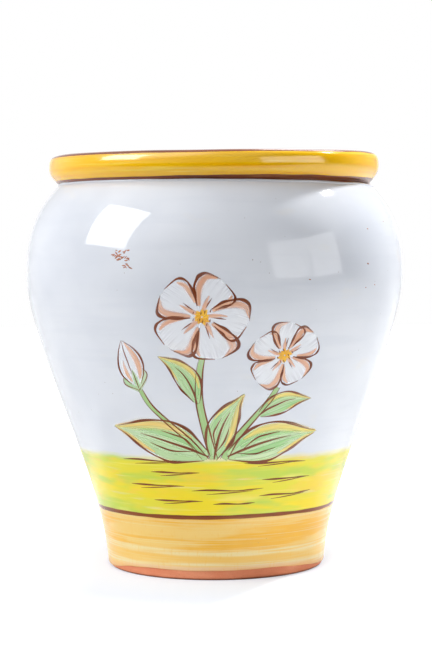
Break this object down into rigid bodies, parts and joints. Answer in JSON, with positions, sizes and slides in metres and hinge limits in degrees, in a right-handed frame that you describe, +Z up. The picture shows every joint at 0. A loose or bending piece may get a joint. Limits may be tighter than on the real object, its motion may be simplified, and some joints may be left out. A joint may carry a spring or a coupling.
{
  "type": "flower pot",
  "caption": "Round bellied flower pot in glazed earthenware, with a rolled rim, a painted front, a bare clay inside and a drain hole; it holds soil and a plant.",
  "frame": {"origin": "centre of the foot's underside, on the surface that the pot stands on", "axes": "+Z up along the pot's axis; the painted front faces -Y, with +X to the right of it"},
  "size_m": [0.26, 0.26, 0.2812],
  "materials": {
    "bare_clay": "matt fired terracotta",
    "white_glaze": "glossy white tin glaze",
    "yellow_glaze": "glossy brushed yellow glaze",
    "ochre_glaze": "glossy streaked ochre glaze",
    "meadow_glaze": "glossy washed yellow and green glaze",
    "brown_line": "glossy brown brushed line"
  },
  "bodies": {
    "root": {"base_slab": "bare_clay", "pot_wall": "bare_clay", "rim_roll": "bare_clay", "foot_band_glaze": "ochre_glaze", "foot_line": "brown_line", "meadow_band_glaze": "meadow_glaze", "body_glaze": "white_glaze", "rim_under_line": "brown_line", "rim_glaze": "yellow_glaze", "rim_crest_line": "brown_line", "lip_glaze": "white_glaze"}
  },
  "joints": []
}
